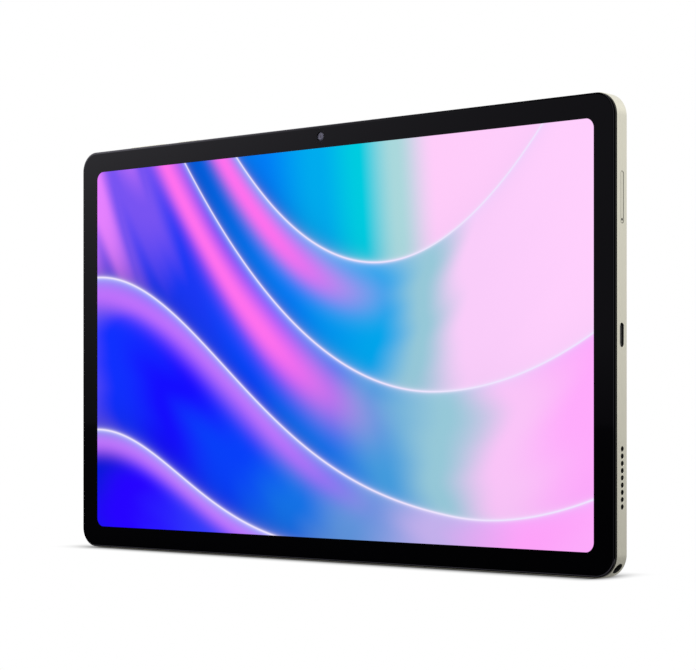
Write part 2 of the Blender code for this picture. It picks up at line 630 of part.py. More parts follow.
def build_eject_mechanism():
    """A pushed rod turns the lever, whose far arm reaches for the end of the drawer."""
    pivot_x, pivot_z = LEVER_PIVOT
    rod_start = pivot_x + LEVER_HALF_WIDTH + GAP
    box("eject_rod", (rod_start, CAVITY_X - 0.5), RAIL_Y, around(PINHOLE_Z, 1.4),
        "stamped_steel", radius=0.2, axis="X", steps=1)
    lever = box("eject_lever", around(pivot_x, 2 * LEVER_HALF_WIDTH), RAIL_Y,
                (PINHOLE_Z - 0.9, pivot_z + 5.5), "stamped_steel", radius=0.7, steps=2,
                origin=(pivot_x, SIDE_Y, pivot_z))
    hub = cylinder("lever_hub", (pivot_x, SIDE_Y, pivot_z), 1.6, RAIL_Y[1] - RAIL_Y[0], "Y",
                   steps=16)
    hole = cylinder("lever_hole_cutter", (pivot_x, SIDE_Y, pivot_z), 0.9, 2.0, "Y", steps=16)
    join(lever, hub)
    cut(lever, hole)
    pin = (READER_FRONT + READER_SHEET + 0.2, CHIP_BACK - 0.1)
    cylinder("eject_pivot", (pivot_x, sum(pin) / 2, pivot_z), 0.6, pin[1] - pin[0], "Y",
             "stamped_steel", steps=16)


build_housing()
build_antenna_window()
build_cover_glass()
build_bezel_frame()
build_display()
build_mid_plate()
build_screws()
build_battery()
build_main_board()
build_processor_shield()
build_port()
build_headphone_jack()
build_flex_cables()
build_antenna_and_microphones()
build_speaker(1, "right")
build_speaker(-1, "left")
build_front_camera()
build_rear_camera()
build_flash()
build_power_key()
build_volume_rocker()
build_key_flex()
build_card_tray()
build_card_reader()
build_eject_mechanism()
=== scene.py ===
"""Looks of the tablet computer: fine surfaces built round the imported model.

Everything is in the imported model's frame, in metres, with X to the right seen from the front, Y
to the rear and Z up. Sizes below are millimetres, scaled once by MM. Most pieces are lofts: one
rounded outline, repeated along an axis with its own growth or shrinkage at each step.
"""
import math

import bmesh
import bpy
from mathutils import Matrix, Vector


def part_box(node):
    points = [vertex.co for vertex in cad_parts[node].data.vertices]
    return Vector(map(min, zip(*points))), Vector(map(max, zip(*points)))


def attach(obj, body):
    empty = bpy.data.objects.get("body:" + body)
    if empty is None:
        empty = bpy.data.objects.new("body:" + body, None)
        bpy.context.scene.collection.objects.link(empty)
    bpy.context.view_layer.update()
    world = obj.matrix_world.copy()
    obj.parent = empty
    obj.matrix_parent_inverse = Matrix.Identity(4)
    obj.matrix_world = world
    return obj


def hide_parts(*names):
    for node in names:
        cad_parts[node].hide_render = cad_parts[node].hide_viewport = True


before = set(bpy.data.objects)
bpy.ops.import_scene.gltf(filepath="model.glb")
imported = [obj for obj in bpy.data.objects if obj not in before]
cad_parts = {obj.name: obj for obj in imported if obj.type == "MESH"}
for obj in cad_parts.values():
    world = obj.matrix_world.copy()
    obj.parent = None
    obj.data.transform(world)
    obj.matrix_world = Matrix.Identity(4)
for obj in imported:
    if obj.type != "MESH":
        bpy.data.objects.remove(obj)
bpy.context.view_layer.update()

MM = 0.001
X, Y, Z = Vector((1, 0, 0)), Vector((0, 1, 0)), Vector((0, 0, 1))


def span(node, axis):
    """A node's lowest and highest coordinate along an axis, in millimetres."""
    low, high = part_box(node)
    return low[axis] / MM, high[axis] / MM


def middle(node, axis):
    return sum(span(node, axis)) / 2


def length(node, axis):
    low, high = span(node, axis)
    return high - low


# Outer sizes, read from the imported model
HALF_WIDTH = length("housing", 0) / 2
HEIGHT = length("housing", 2)
RIM, BACK = span("housing", 1)
FRONT, GLASS_BACK = span("cover_glass", 1)
SIDE_Y = middle("usb_c_shell", 1)   # middle line of the right side's openings

# Corner radii, wall thicknesses, screen and gaps
CORNER = 9.0                    # the solid's own; the two drawn ones are a little tighter
BODY_CORNER = 8.7
GLASS_CORNER = 8.1
WALL = 2.4
SKIN = 0.9                      # thickness of the metal back
SCREEN_Z = HEIGHT / 2
SCREEN_HALF = (130.4, 78.25)
SCREEN_CORNER = 3.7
SCREEN_ASPECT = 1.667
CAMERA_OPENING = 2.8            # radius of the clear round in the glass's black border
ANTENNA_CORNER = 1.7
SEAM = 0.1                      # visible gap round keys and inlays
LIP = 0.3                       # the glass and its frame stand this far inside the metal
PAST = 0.3                      # a cutter ends this far outside the surface it opens
WALL_CUT = WALL + 0.6           # depth of a cutter that goes through the side wall
SKIN_CUT = SKIN + 0.4           # and of one that goes through the back

# Keys: a hidden flange makes each key longer than its visible cap
KEY_DEPTH = length("power_key", 1)
FLANGE = 2.2
KEY_LENGTH = {node: length(node, 0) - FLANGE for node in ("power_key", "volume_rocker")}

# The card drawer's cap, its slot, the slot's shift to the rear, and the eject pinhole
DRAWER_SIZE = (length("card_tray", 2) + 0.2, length("card_tray", 1) + 0.1)
DRAWER_SLOT = (DRAWER_SIZE[0] + 0.4, DRAWER_SIZE[1] + 0.45)
DRAWER_SLOT_SHIFT = 0.08
PINHOLE_Z, PINHOLE_RADIUS = 128.9, 0.5

# The charging socket's opening in the wall, the pocket behind it, its shell and its tongue
PORT_OPENING, PORT_POCKET = (8.7, 2.6), (9.1, 3.3)
PORT_SHELL, PORT_SHELL_WALL, PORT_TONGUE = (8.94, 3.16), 0.25, (6.6, 0.7)

# Round holes: speaker grilles, microphones, and the headphone socket's mouth, neck and bore
SPEAKER_HOLES, SPEAKER_PITCH, SPEAKER_RADIUS = 9, 2.6, 0.96
SPEAKER_Y, SPEAKER_LOW_Z = SIDE_Y + 0.25, 25.86
MICROPHONE_RADIUS = 0.45
JACK_MOUTH, JACK_NECK, JACK_BORE = 2.25, 2.2, 1.78
JACK_TILT = math.radians(37.0)

SHARP_ANGLE = math.radians(32.0)    # edges turning more than this stay crisp


# ------------------------------------------------------------------ node materials

def srgb(red, green, blue):
    """A colour given in display values from 0 to 255, as linear values."""
    def linear(value):
        value /= 255.0
        return value / 12.92 if value <= 0.04045 else ((value + 0.055) / 1.055) ** 2.4
    return tuple(linear(value) for value in (red, green, blue))


class Field:
    """A number that varies over a surface, as a shader socket with arithmetic."""

    def __init__(self, paint, socket):
        self.paint = paint
        self.socket = socket

    def _math(self, operation, *others, clamp=False):
        return self.paint.math(operation, self, *others, clamp=clamp)

    def __add__(self, other):
        return self._math("ADD", other)

    def __sub__(self, other):
        return self._math("SUBTRACT", other)

    def __rsub__(self, other):
        return self.paint.math("SUBTRACT", other, self)

    def __mul__(self, other):
        return self._math("MULTIPLY", other)

    def __truediv__(self, other):
        return self._math("DIVIDE", other)

    __radd__ = __add__
    __rmul__ = __mul__

    def abs(self):
        return self._math("ABSOLUTE")

    def max(self, other):
        return self._math("MAXIMUM", other)

    def min(self, other):
        return self._math("MINIMUM", other)

    def power(self, exponent):
        return self._math("POWER", exponent)

    def root(self):
        return self._math("SQRT")

    def sine(self):
        return self._math("SINE")

    def exp(self):
        return self._math("EXPONENT")

    def smooth(self, low, high):
        """0 below low and 1 above high, with a smooth rise between them."""
        node = self.paint.node("ShaderNodeMapRange", interpolation_type="SMOOTHSTEP")
        self.paint.feed(node.inputs["Value"], self)
        node.inputs["From Min"].default_value = low
        node.inputs["From Max"].default_value = high
        return Field(self.paint, node.outputs["Result"])

    def clamp(self):
        return self._math("ADD", 0.0, clamp=True)


class Paint:
    """A material being built from nodes round one Principled shader."""

    def __init__(self, name, colour=(0.5, 0.5, 0.5), roughness=0.5, metallic=0.0):
        self.material = bpy.data.materials.new(name)
        self.material.use_nodes = True
        self.tree = self.material.node_tree
        self.shader = self.tree.nodes["Principled BSDF"]
        self.set("Base Color", (*colour, 1.0))
        self.set("Roughness", roughness)
        self.set("Metallic", metallic)
        self.place = None

    def node(self, kind, **settings):
        made = self.tree.nodes.new(kind)
        for name, value in settings.items():
            setattr(made, name, value)
        return made

    def feed(self, target, source):
        """Put a field, a socket or a plain value into an input."""
        if isinstance(source, Field):
            source = source.socket
        if isinstance(source, bpy.types.NodeSocket):
            self.tree.links.new(source, target)
        else:
            target.default_value = source

    def set(self, name, source):
        self.feed(self.shader.inputs[name], source)

    def math(self, operation, *operands, clamp=False):
        made = self.node("ShaderNodeMath", operation=operation, use_clamp=clamp)
        for slot, operand in enumerate(operands):
            self.feed(made.inputs[slot], operand)
        return Field(self, made.outputs[0])

    def coordinates(self):
        """The point's place in the model's frame, as three fields in millimetres."""
        if self.place is None:
            source = self.node("ShaderNodeTexCoord").outputs["Object"]
            parts = self.node("ShaderNodeSeparateXYZ")
            self.feed(parts.inputs[0], source)
            self.place = [Field(self, out) / MM for out in parts.outputs]
        return self.place

    def vector(self, x, y, z):
        made = self.node("ShaderNodeCombineXYZ")
        for slot, part in enumerate((x, y, z)):
            self.feed(made.inputs[slot], part)
        return made.outputs[0]

    def noise(self, grain, detail, stretch=(1.0, 1.0, 1.0), spread=0.5):
        """Noise from 0 to 1 whose features are about one grain across, in millimetres."""
        x, y, z = self.coordinates()
        made = self.node("ShaderNodeTexNoise")
        scaled = [part / (grain * pull) for part, pull in zip((x, y, z), stretch)]
        self.feed(made.inputs["Vector"], self.vector(*scaled))
        made.inputs["Scale"].default_value = 1.0
        made.inputs["Detail"].default_value = detail
        made.inputs["Roughness"].default_value = spread
        return Field(self, made.outputs[0])

    def blend(self, amount, first, second):
        """Mix two colours, each a linear triple or a socket."""
        made = self.node("ShaderNodeMix", data_type="RGBA")
        self.feed(made.inputs[0], amount)
        for slot, colour in ((6, first), (7, second)):
            self.feed(made.inputs[slot], (*colour, 1.0) if isinstance(colour, tuple) else colour)
        return made.outputs[2]

    def ramp(self, amount, stops):
        """A colour along a run of (place, colour) stops."""
        made = self.node("ShaderNodeValToRGB")
        made.color_ramp.interpolation = "EASE"
        points = made.color_ramp.elements
        while len(points) < len(stops):
            points.new(0.5)
        for point, (place, colour) in zip(points, stops):
            point.position = place
            point.color = (*colour, 1.0)
        self.feed(made.inputs[0], amount)
        return made.outputs[0]

    def bump(self, height, depth):
        """Relief from a height field; depth is in millimetres for a height of one."""
        made = self.node("ShaderNodeBump")
        made.inputs["Distance"].default_value = depth * MM
        self.feed(made.inputs["Height"], height)
        self.set("Normal", made.outputs[0])


def window_distance(x, z, half, corner, centre_z):
    """Signed distance in millimetres from a rounded rectangle in the screen's plane."""
    across = x.abs() - (half[0] - corner)
    up = (z - centre_z).abs() - (half[1] - corner)
    outside = (across.max(0.0).power(2.0) + up.max(0.0).power(2.0)).root()
    return outside + across.max(up).min(0.0) - corner


def paint_anodised(name, roughness, relief, tone=1.0):
    """Bead-blasted, champagne anodised aluminium with a faint cloudiness."""
    base = srgb(213, 210, 194)
    paint = Paint(name, metallic=1.0)
    cloud = paint.noise(28.0, 2.0)
    dark = tuple(value * 0.95 * tone for value in base)
    light = tuple(min(1.0, value * 1.04 * tone) for value in base)
    paint.set("Base Color", paint.blend(cloud, dark, light))
    grain = paint.noise(0.16, 2.0, spread=0.7)
    paint.set("Roughness", roughness + (grain - 0.5) * 0.10 + (cloud - 0.5) * 0.05)
    if relief:
        paint.bump(grain, relief)
    return paint.material


def painted_room_reflection(paint):
    """Painted reflection: how strongly the glass reflects, set by the direction of the mirrored
    ray.

    On the flat front it paints the light of a dark room that grows lighter upwards and to the left.
    On the curved edge it paints one thin highlight strip on the right and one along the bottom, and
    is dark beyond.
    """
    mirror = paint.node("ShaderNodeSeparateXYZ")
    paint.feed(mirror.inputs[0], paint.node("ShaderNodeTexCoord").outputs["Reflection"])
    side, rise = Field(paint, mirror.outputs["X"]), Field(paint, mirror.outputs["Z"])
    leftward, drop = side * -1.0, rise * -1.0
    knee = 0.034
    pull = leftward.smooth(0.52, 0.80) * 0.9 + 0.09
    flat = ((rise.min(knee) + (rise.max(knee) - knee) * pull) * 17.0).exp() * 0.07
    edge_fades = [(rise, 0.20, 0.38), (leftward, 0.82, 0.93), (side, -0.50, -0.38)]
    for direction, low, high in edge_fades:
        flat = flat * (1.0 - direction.smooth(low, high) * 0.85)
    # Painted highlights on the curved edge: one strip on the right, one along the bottom.
    painted_right_highlight = side.smooth(-0.34, -0.26) - side.smooth(-0.08, 0.02)
    painted_bottom_highlight = drop.smooth(0.20, 0.26) - drop.smooth(0.42, 0.50)
    return flat + painted_right_highlight.max(0.0) * 0.5 + painted_bottom_highlight.max(0.0) * 1.5


def paint_front_glass():
    """Clear glass over the screen, with a black printed border and a camera opening.

    The opening is smaller on the printed rear face, and the front face is clear from inside.
    """
    paint = Paint("front_glass", srgb(1, 1, 2), 0.03)
    x, y, z = paint.coordinates()
    border = window_distance(x, z, SCREEN_HALF, SCREEN_CORNER, SCREEN_Z).smooth(-0.06, 0.06)
    reach = axis_distance(paint, (0.0, FRONT, middle("front_camera", 2)))
    printed_side = y.smooth(FRONT + 0.25, FRONT + 0.35)
    camera = 1.0 - (reach + printed_side).smooth(CAMERA_OPENING - 0.05, CAMERA_OPENING + 0.05)
    inside = Field(paint, paint.node("ShaderNodeNewGeometry").outputs["Backfacing"])
    paint.set("Alpha", (border - camera) * (1.0 - inside * (1.0 - printed_side)))
    # The specular strength is a painted reflection of the room, not a property of the glass.
    paint.set("Specular IOR Level", (painted_room_reflection(paint) * 0.5).min(1.0))
    paint.set("Specular Tint", (0.87, 0.83, 1.0, 1.0))
    smudge = paint.noise(17.0, 4.0, spread=0.6).smooth(0.45, 0.8)
    paint.set("Roughness", 0.03 + smudge * 0.03)
    return paint.material


def fold(paint, across, up, curve, seed, over, stops, glow, band):
    """One silk-like fold below a curve, laid over the picture so far.

    It has its own run of colours and a bright band, given as (depth below the curve, half
    width, strength). It shades what lies above the curve, which is drawn as a thin pale line.
    """
    depth = curve - up
    silk = paint.node("ShaderNodeTexNoise")
    paint.feed(silk.inputs["Vector"], paint.vector(across * 1.3, depth * 3.6, seed))
    silk.inputs["Scale"].default_value = 1.0
    silk.inputs["Detail"].default_value = 1.5
    drift = Field(paint, silk.outputs[0]) - 0.5
    tone = paint.ramp((across / SCREEN_ASPECT + drift * 0.34 + depth * 0.08).clamp(), stops)
    centre, half, strength = band
    lit = (((depth - centre + drift * 0.08) / half).power(2.0) * -1.0).exp() * strength
    fade = 1.0 - across.smooth(0.62, 1.12)
    toned = paint.blend((lit * fade).clamp(), tone, glow)
    rim = ((depth.max(0.0) / 0.016) * -1.0).exp() * (fade * 0.55 + 0.15)
    toned = paint.blend(rim.clamp(), toned, srgb(150, 196, 255))
    shade = (depth.min(0.0) / 0.05).exp() * (fade * 0.42 + 0.05)
    shaded = paint.blend(shade.clamp(), over, srgb(16, 24, 150))
    layered = paint.blend(depth.smooth(-0.0012, 0.0012), shaded, toned)
    line = ((depth - 0.002).abs() * -380.0).exp() * 1.1 + (depth.abs() * -110.0).exp() * 0.2
    return paint.blend(line.clamp(), layered, srgb(240, 230, 255))


def paint_screen():
    """A lit picture of overlapping folds, from blue and violet on the left to pink."""
    paint = Paint("screen_picture", (0.0, 0.0, 0.0), 0.4)
    x, _, z = paint.coordinates()
    height = 2.0 * SCREEN_HALF[1]
    across = (x + SCREEN_HALF[0]) / height
    up = (z - (SCREEN_Z - SCREEN_HALF[1])) / height
    magenta, violet = srgb(255, 112, 238), srgb(196, 112, 252)
    azure, cyan = srgb(0, 128, 250), srgb(0, 204, 224)
    haze, pink, pale = srgb(150, 200, 216), srgb(255, 172, 252), srgb(255, 208, 253)
    back = paint.ramp((across + (up - 0.8) * 0.08) / SCREEN_ASPECT,
                      [(0.0, azure), (0.38, azure), (0.50, srgb(0, 172, 238)), (0.585, cyan),
                       (0.655, srgb(170, 216, 220)), (0.73, srgb(255, 205, 250)), (1.0, pale)])
    first = 0.70 + 1.25 * (across - 1.03).power(2.0)
    second = (0.375 + (1.20 - across).max(0.0).power(2.0) * 0.86
              + (across - 1.20).max(0.0).power(2.0) * 0.62)
    third = (((across / 0.70).power(2.0) * -1.0).exp() * 0.66 + 0.045
             + (across - 1.25).max(0.0).power(2.0) * 0.45)
    fourth = ((across / 0.46).power(2.0) * -1.0).exp() * 0.31 - 0.035
    layers = [
        (first, 1.3, magenta, (0.070, 0.048, 1.0),
         [(0.20, srgb(0, 96, 222)), (0.42, azure), (0.56, srgb(0, 165, 236)), (0.66, haze),
          (0.78, srgb(250, 205, 250)), (1.0, pale)]),
        (second, 4.1, magenta, (0.105, 0.070, 1.0),
         [(0.0, srgb(230, 130, 255)), (0.13, srgb(120, 84, 242)), (0.24, srgb(26, 56, 246)),
          (0.38, srgb(0, 72, 255)), (0.52, srgb(0, 116, 238)), (0.62, srgb(66, 156, 222)),
          (0.72, haze), (0.84, srgb(250, 196, 248)), (1.0, pink)]),
        (third, 7.7, violet, (0.040, 0.050, 0.9),
         [(0.0, srgb(96, 80, 240)), (0.10, srgb(16, 48, 255)), (0.22, srgb(20, 14, 255)),
          (0.35, srgb(8, 64, 250)), (0.48, srgb(20, 116, 232)), (0.60, srgb(96, 150, 220)),
          (0.75, srgb(196, 176, 236)), (0.88, srgb(255, 164, 250)), (1.0, pink)]),
        (fourth, 9.2, violet, (0.030, 0.035, 0.9),
         [(0.0, srgb(6, 24, 214)), (0.14, srgb(38, 4, 255)), (0.30, srgb(50, 60, 250)),
          (1.0, violet)]),
    ]
    picture = back
    for curve, seed, glow, band, stops in layers:
        picture = fold(paint, across, up, curve, seed, picture, stops, glow, band)
    paint.set("Emission Color", picture)
    paint.set("Emission Strength", 1.0)
    paint.set("Specular IOR Level", 0.0)
    return paint.material


def paint_plastic(name, colour, roughness=0.5, grain=0.12, relief=0.004):
    """Moulded plastic or resin with a fine spark-eroded grain."""
    paint = Paint(name, roughness=roughness)
    speck = paint.noise(grain, 3.0, spread=0.65)
    cloud = paint.noise(9.0, 2.0)
    dark = tuple(value * 0.75 for value in colour)
    light = tuple(value * 1.3 for value in colour)
    paint.set("Base Color", paint.blend(speck * 0.6 + cloud * 0.4, dark, light))
    paint.set("Roughness", roughness + (speck - 0.5) * 0.15)
    paint.bump(speck, relief)
    return paint.material


def paint_brushed(name, colour, roughness=0.32, stretch=(14.0, 1.0, 1.0)):
    """Stamped metal with a drawn grain and a little staining."""
    paint = Paint(name, metallic=1.0)
    lines = paint.noise(0.12, 3.0, stretch=stretch, spread=0.6)
    stain = paint.noise(6.0, 3.0)
    dark = tuple(value * 0.82 for value in colour)
    paint.set("Base Color", paint.blend(lines * 0.5 + stain * 0.5, dark, colour))
    paint.set("Roughness", roughness + (lines - 0.5) * 0.2)
    paint.bump(lines, 0.003)
    return paint.material


def paint_foil():
    """The creased laminate of a battery pouch."""
    paint = Paint("battery_foil", metallic=0.85)
    crease = paint.noise(7.0, 5.0, spread=0.6)
    fine = paint.noise(0.5, 2.0)
    paint.set("Base Color", paint.blend(crease, srgb(70, 71, 74), srgb(120, 121, 125)))
    paint.set("Roughness", 0.34 + fine * 0.12)
    paint.bump(crease + fine * 0.1, 0.25)
    return paint.material


def paint_board():
    """Green solder mask over copper tracks and tinned pads."""
    paint = Paint("solder_mask", roughness=0.3)
    x, _, z = paint.coordinates()
    wander = paint.noise(6.0, 1.0) * 5.0
    tracks = ((x + z + wander) * 5.2).sine().smooth(0.55, 0.75)
    columns = (x * 2.1).sine().smooth(0.86, 0.94)
    rows = (z * 2.1).sine().smooth(0.86, 0.94)
    pads = columns * rows
    mask = paint.blend(tracks * 0.8, srgb(10, 70, 42), srgb(24, 112, 62))
    paint.set("Base Color", paint.blend(pads, mask, srgb(214, 196, 150)))
    paint.set("Metallic", pads * 0.9)
    paint.bump(tracks + pads, 0.02)
    return paint.material


def paint_flex():
    """Amber film with rows of copper conductors under it."""
    paint = Paint("flex_film", roughness=0.28)
    x, _, z = paint.coordinates()
    lines = ((x + z) * 7.0).sine().smooth(0.1, 0.5)
    paint.set("Base Color", paint.blend(lines, srgb(150, 84, 20), srgb(206, 130, 52)))
    paint.set("Metallic", lines * 0.35)
    paint.bump(lines, 0.01)
    return paint.material


def paint_mesh_cloth():
    """Woven dust mesh seen through the speaker holes."""
    paint = Paint("dust_mesh", roughness=0.55, metallic=0.6)
    _, y, z = paint.coordinates()
    warp = (y * 21.0).sine()
    weft = (z * 21.0).sine()
    weave = warp.max(weft).smooth(0.2, 0.95)
    paint.set("Base Color", paint.blend(weave, srgb(5, 5, 5), srgb(58, 56, 52)))
    paint.bump(weave, 0.06)
    return paint.material


def paint_card():
    """Black card resin with a row of gold contacts near its leading end."""
    paint = Paint("card_resin", roughness=0.38)
    x, _, z = paint.coordinates()
    low = span("memory_card", 0)[0]
    pitch = 1.37
    lead = 1.0 - (x - low).smooth(3.2, 3.3)
    bars = ((z - span("memory_card", 2)[0]) * (2.0 * math.pi / pitch)).sine().smooth(-0.35, -0.2)
    gold = lead * (x - low).smooth(0.6, 0.7) * bars
    speck = paint.noise(0.15, 2.0)
    resin = paint.blend(speck, srgb(20, 20, 21), srgb(34, 34, 36))
    paint.set("Base Color", paint.blend(gold, resin, srgb(226, 184, 104)))
    paint.set("Metallic", gold)
    paint.bump(gold * 2.0 + speck * 0.2, 0.02)
    return paint.material


def paint_tongue():
    """Black contact tongue with gold contact strips along the plug's direction."""
    paint = Paint("port_tongue_resin", roughness=0.4)
    _, y, z = paint.coordinates()
    pitch = 0.5
    strips = ((z - middle("usb_c_tongue", 2)) * (2.0 * math.pi / pitch)).sine().smooth(0.1, 0.35)
    face = (y - SIDE_Y).abs().smooth(0.30, 0.33)
    gold = strips * face
    speck = paint.noise(0.1, 2.0)
    resin = paint.blend(speck, srgb(12, 12, 13), srgb(24, 24, 25))
    paint.set("Base Color", paint.blend(gold, resin, srgb(220, 180, 104)))
    paint.set("Metallic", gold)
    paint.bump(gold + speck * 0.1, 0.02)
    return paint.material


def axis_distance(paint, centre):
    """Distance in millimetres from the front-to-back axis through a point."""
    x, _, z = paint.coordinates()
    return ((x - centre[0]).power(2.0) + (z - centre[2]).power(2.0)).root()


def paint_lens(name, centre, rings):
    """Coated lens glass with concentric (radius, colour) tones round its own axis."""
    paint = Paint(name, roughness=0.04)
    outer = rings[-1][0]
    stops = [(radius / outer, colour) for radius, colour in rings]
    paint.set("Base Color", paint.ramp(axis_distance(paint, centre) / outer, stops))
    paint.set("Coat Weight", 0.6)
    paint.set("Coat Tint", (0.55, 0.45, 1.0, 1.0))
    grain = paint.noise(0.3, 2.0)
    paint.set("Roughness", 0.04 + grain * 0.04)
    return paint.material


def paint_clear_cover(centre, clear_radius):
    """The rear camera's cover: black print round a clear middle."""
    paint = Paint("camera_cover_glass", srgb(6, 6, 8), 0.03)
    radius = axis_distance(paint, centre)
    paint.set("Alpha", radius.smooth(clear_radius - 0.05, clear_radius + 0.05) * 0.92 + 0.08)
    print_edge = (radius - (clear_radius + 0.35)).abs().smooth(0.04, 0.09)
    paint.set("Base Color", paint.blend(print_edge, srgb(70, 70, 74), srgb(6, 6, 8)))
    return paint.material


def paint_diffuser(name, colour, grain, relief):
    """White or warm translucent plastic with a prismatic grain."""
    paint = Paint(name, roughness=0.32)
    ripple = paint.noise(grain, 2.0)
    paint.set("Base Color", paint.blend(ripple, tuple(value * 0.86 for value in colour), colour))
    paint.set("Subsurface Weight", 0.1)
    paint.bump(ripple, relief)
    return paint.material


# ------------------------------------------------------------------ shapes

def placed(centre, along, across):
    """A matrix whose w axis runs along a direction and whose u axis runs across it."""
    w = Vector(along).normalized()
    u = Vector(across).normalized()
    v = w.cross(u)
    columns = Matrix((u, v, w)).transposed().to_4x4()
    return Matrix.Translation(Vector(centre) * MM) @ columns


def outline(half_u, half_v, radius, steps):
    """A rounded rectangle's points, anticlockwise; a full radius gives a slot or a circle."""
    points = []
    corners = ((1, 1, 0.0), (-1, 1, 0.5), (-1, -1, 1.0), (1, -1, 1.5))
    for side_u, side_v, turn in corners:
        for step in range(steps + 1):
            angle = math.pi * (turn + 0.5 * step / steps)
            point = (side_u * (half_u - radius) + radius * math.cos(angle),
                     side_v * (half_v - radius) + radius * math.sin(angle))
            if not points or math.dist(point, points[-1]) > 1e-4:
                points.append(point)
    if math.dist(points[0], points[-1]) < 1e-4:
        points.pop()
    return points


def loft_mesh(matrix, half_u, half_v, radius, profile, steps):
    """A closed solid through one outline at each (w, growth, slot) of a profile."""
    solid = bmesh.new()
    rings = []
    for w, growth, _ in profile:
        points = outline(half_u + growth, half_v + growth, radius + growth, steps)
        rings.append([solid.verts.new(matrix @ (Vector((u, v, w)) * MM)) for u, v in points])
    count = len(rings[0])
    for (low, high), (_, _, slot) in zip(zip(rings, rings[1:]), profile[1:]):
        for i in range(count):
            j = (i + 1) % count
            face = solid.faces.new((low[i], low[j], high[j], high[i]))
            face.material_index = slot
    solid.faces.new(reversed(rings[0])).material_index = profile[0][2]
    solid.faces.new(rings[-1]).material_index = profile[-1][2]
    bmesh.ops.recalc_face_normals(solid, faces=solid.faces)
    return solid


def new_object(name, solid, materials):
    mesh = bpy.data.meshes.new(name)
    solid.to_mesh(mesh)
    solid.free()
    for material in materials:
        mesh.materials.append(material)
    obj = bpy.data.objects.new(name, mesh)
    bpy.context.scene.collection.objects.link(obj)
    return obj


def loft(name, materials, centre, along, across, size, radius, profile, steps=12):
    """A loft as an object. The profile's entries are (w, growth) or (w, growth, slot)."""
    full = [entry if len(entry) == 3 else (*entry, 0) for entry in profile]
    solid = loft_mesh(placed(centre, along, across), size[0] / 2, size[1] / 2, radius, full, steps)
    return new_object(name, solid, materials)


def turned(name, materials, centre, along, radius, profile, steps):
    """A round loft: the profile's growth is added to one radius."""
    across = X if abs(Vector(along).normalized().dot(X)) < 0.5 else Y
    return loft(name, materials, centre, along, across, (2 * radius, 2 * radius), radius,
                profile, steps)


def arc(start, end, bulge_first, count):
    """Points of a quarter ellipse between two (w, growth) pairs."""
    points = []
    for step in range(1, count + 1):
        angle = math.pi / 2 * step / count
        first, second = math.sin(angle), 1.0 - math.cos(angle)
        if not bulge_first:
            first, second = second, first
        points.append((start[0] + (end[0] - start[0]) * first,
                       start[1] + (end[1] - start[1]) * second))
    return points


def eased(low, high, edge):
    """A loft profile for a straight solid whose two end edges are cut by a small amount."""
    return [(low, -edge), (low + edge, 0.0), (high - edge, 0.0), (high, -edge)]


def bake(obj):
    """Replace an object's mesh by its evaluated one, without modifiers."""
    graph = bpy.context.evaluated_depsgraph_get()
    mesh = bpy.data.meshes.new_from_object(obj.evaluated_get(graph), depsgraph=graph)
    obj.modifiers.clear()
    old = obj.data
    obj.data = mesh
    bpy.data.meshes.remove(old)


def combine(obj, others, operation):
    """Join or cut an object with others, which are used up."""
    for other in others:
        step = obj.modifiers.new("combine", "BOOLEAN")
        step.operation = operation
        step.solver = "EXACT"
        step.material_mode = "TRANSFER"
        step.object = other
    bpy.context.view_layer.update()
    bake(obj)
    for other in others:
        bpy.data.objects.remove(other, do_unlink=True)


def cut(obj, *others):
    combine(obj, others, "DIFFERENCE")


def join(obj, *others):
    combine(obj, others, "UNION")


def finish_surface(obj):
    """Smooth rounded stretches, keep real edges crisp and flat faces flat."""
    clean = bmesh.new()
    clean.from_mesh(obj.data)
    bmesh.ops.remove_doubles(clean, verts=clean.verts, dist=1e-7)
    bmesh.ops.dissolve_degenerate(clean, edges=clean.edges, dist=1e-7)
    clean.to_mesh(obj.data)
    clean.free()
    obj.data.shade_smooth()
    obj.data.set_sharp_from_angle(angle=SHARP_ANGLE)
    weighted = obj.modifiers.new("weighted_normals", "WEIGHTED_NORMAL")
    weighted.keep_sharp = True
    weighted.weight = 100


def stand_in(obj, body, slot, *nodes):
    """Finish a piece, fix it to its body and hide the plain nodes it stands for."""
    finish_surface(obj)
    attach(obj, body)
    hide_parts(*nodes)


ANODISED = paint_anodised("champagne_anodised", 0.36, 0.006)
# A slightly darker tone of the metal. On the keys' sides it is painted shade; on the drawer's face,
# its carrier and the keys' flanges and nibs it is only a darker tone.
DARKER_METAL = paint_anodised("champagne_darker_tone", 0.38, 0.006, tone=0.93)
POLISHED = paint_anodised("champagne_cut_edge", 0.22, 0.0, tone=1.06)
# Painted shade: the metal darkened to three tenths for the walls of the inner cavity, the socket's
# pocket, the rear holes, the antenna slot and the drawer cap's sides, where shade falls.
RECESS_SHADE_METAL = paint_anodised("champagne_recess_shade", 0.5, 0.01, tone=0.30)
# Painted shade: near-black plastic lining the walls of slots, holes and seams and the pinhole,
# standing in for the shade inside them.
SHADED = paint_plastic("painted_shade_black", srgb(20, 19, 17), 0.7)
RESIN = paint_plastic("socket_black", srgb(14, 14, 15), 0.5)
STEEL = paint_brushed("nickel_steel", srgb(190, 189, 187))
BODY = "chassis"


# ------------------------------------------------------------------ housing and front

def right_slot(name, z, size, radius, profile, materials, back=0.0):
    """A cutter into the right wall, on the openings' middle line or shifted back from it.

    Its profile runs outward from the wall's outer face.
    """
    return loft(name, materials, (HALF_WIDTH, SIDE_Y + back, z), X, Z, size, radius, profile)


def mouth(depth, chamfer):
    """A cutter profile: a straight wall, then a cut edge that widens to the surface."""
    return [(-depth, 0.0, 0), (-chamfer, 0.0, 0), (PAST, chamfer + PAST, 1)]


def jack_place(distance):
    """A point on the jack's axis, at a distance from the centre of the corner's arc."""
    return (HALF_WIDTH - CORNER + distance * math.cos(JACK_TILT), SIDE_Y,
            CORNER - distance * math.sin(JACK_TILT))


